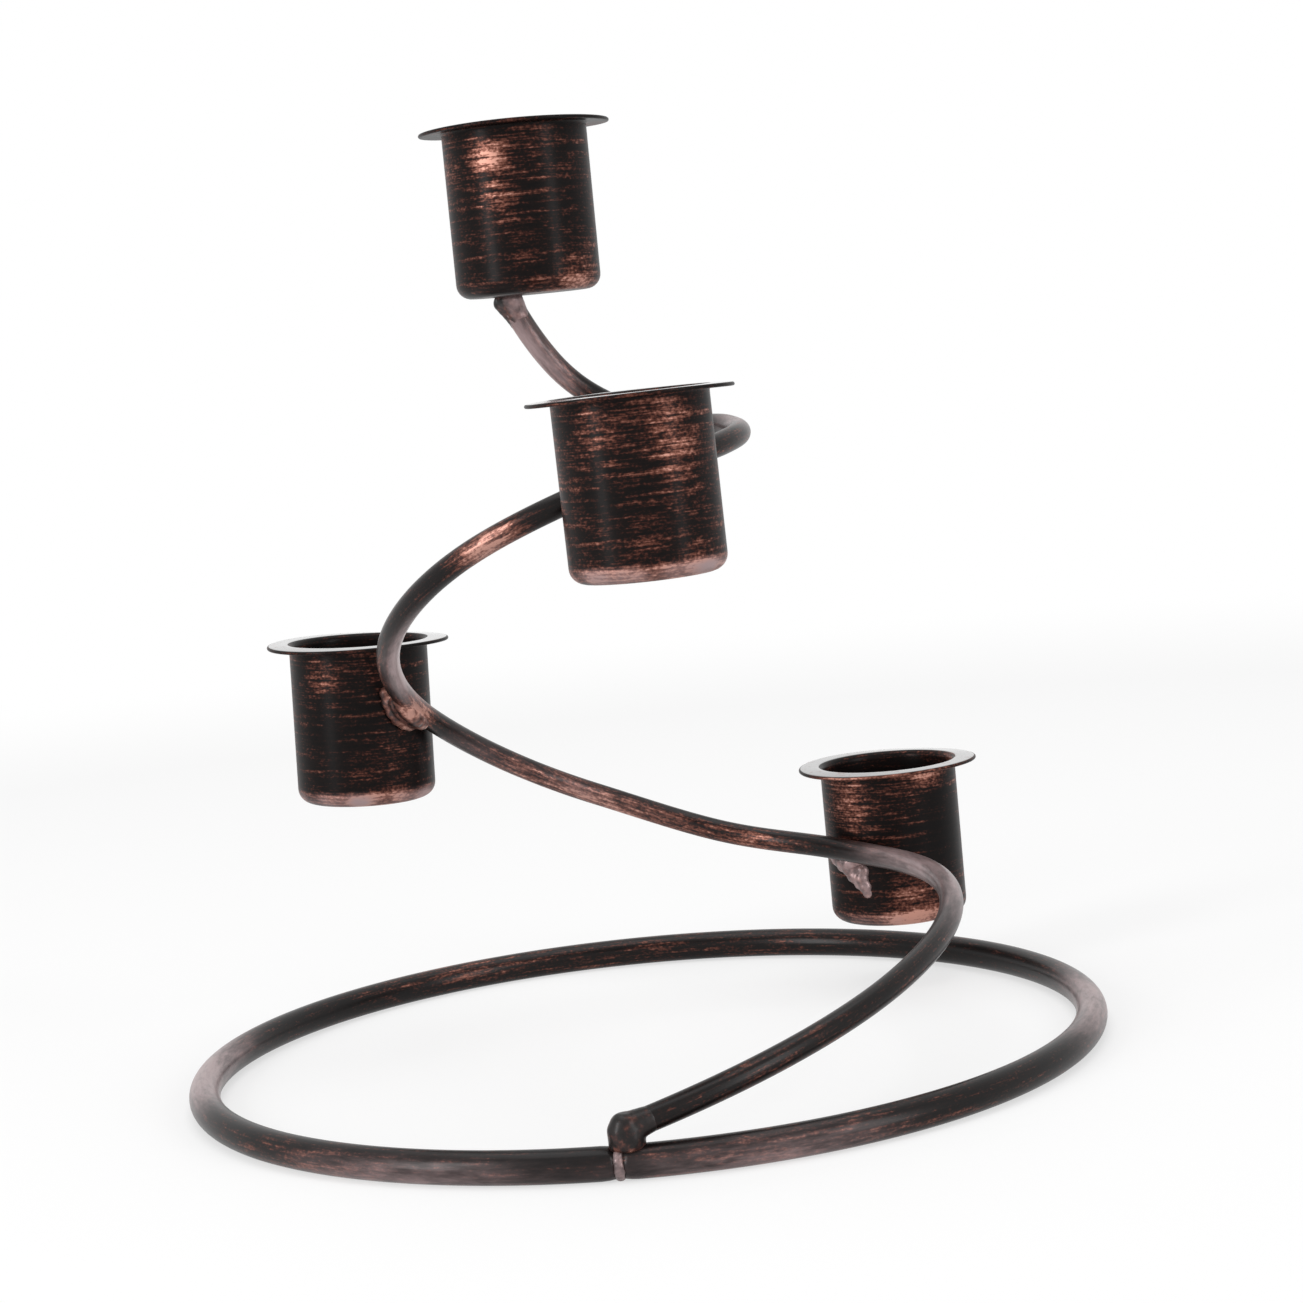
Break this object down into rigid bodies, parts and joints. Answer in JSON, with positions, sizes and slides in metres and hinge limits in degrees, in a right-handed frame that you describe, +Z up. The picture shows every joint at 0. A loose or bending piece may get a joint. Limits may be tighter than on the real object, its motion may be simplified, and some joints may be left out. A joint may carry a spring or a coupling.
{
  "type": "spiral candle holder",
  "caption": "Welded wire candle holder: a base ring carries a rising spiral rod with flanged cups for taper candles, in black with brushed copper highlights.",
  "frame": {"origin": "middle of the base ring, on the surface that it stands on", "axes": "+Z up; -Y is the front, where the rod's foot stands on the ring; the rod climbs counter-clockwise seen from above"},
  "size_m": [0.15, 0.1502, 0.153],
  "materials": {
    "ring_finish": "semi-gloss black lacquer with thin rubbed copper stretches",
    "rod_finish": "semi-gloss black lacquer with rubbed copper stretches",
    "cup_finish": "semi-gloss black lacquer, dry-brushed round the cup with copper",
    "weld_finish": "lumpy weld, black lacquer rubbed back to copper on the high spots"
  },
  "bodies": {
    "root": {"base_ring": "ring_finish", "ring_seam_weld": "weld_finish", "spiral_rod": "rod_finish", "foot_weld": "weld_finish", "candle_cup_1": "cup_finish", "cup_weld_1": "weld_finish", "candle_cup_2": "cup_finish", "cup_weld_2": "weld_finish", "candle_cup_3": "cup_finish", "cup_weld_3": "weld_finish", "candle_cup_4": "cup_finish", "cup_weld_4": "weld_finish"}
  },
  "joints": []
}
